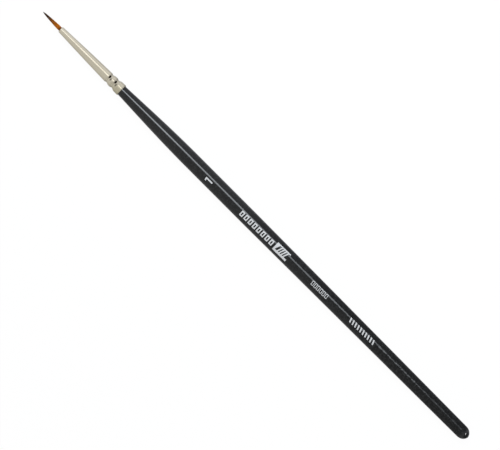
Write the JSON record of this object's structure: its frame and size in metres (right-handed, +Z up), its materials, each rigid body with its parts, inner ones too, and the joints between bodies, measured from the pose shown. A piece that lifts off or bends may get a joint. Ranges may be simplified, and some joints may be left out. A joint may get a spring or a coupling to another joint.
{
  "type": "fine detail brush",
  "caption": "Round fine detail brush: black lacquered wooden handle, crimped tapered metal ferrule and a small pointed tuft that flexes and springs back.",
  "frame": {"origin": "on the surface that the brush lies on, under the middle of its length", "axes": "+X along the handle towards the tuft's point, +Z up from that surface"},
  "size_m": [0.2, 0.0056, 0.0056],
  "materials": {
    "wood": "bare turned birch",
    "lacquer": "gloss black dipped lacquer",
    "adhesive": "set adhesive film",
    "nickel": "satin nickel plate",
    "resin": "set clear amber resin",
    "thread": "undyed twisted thread",
    "filament": "tapered synthetic filament, orange-brown with a dark tip",
    "print": "thin white stamped print"
  },
  "bodies": {
    "brush_body": {"handle_core": "wood", "handle_lacquer": "lacquer", "tenon_glue": "adhesive", "ferrule": "nickel", "resin_plug": "resin", "binding_thread": "thread", "tuft_root": "filament"},
    "tuft_heel": {"tuft_heel": "filament"},
    "tuft_point": {"tuft_point": "filament"}
  },
  "joints": [
    {"name": "tuft_bend_side", "type": "hinge", "parent": "brush_body", "child": "tuft_heel", "pos_m": [0.09242, 0, 0.00281], "axis": [0, 0, 1], "range_deg": [-45, 45], "stiffness_Nm_per_rad": 0.0006},
    {"name": "tuft_bend_up", "type": "hinge", "parent": "tuft_heel", "child": "tuft_point", "pos_m": [0.09402, 0, 0.00281], "axis": [0, -1, 0], "range_deg": [-45, 45], "stiffness_Nm_per_rad": 0.0006}
  ]
}
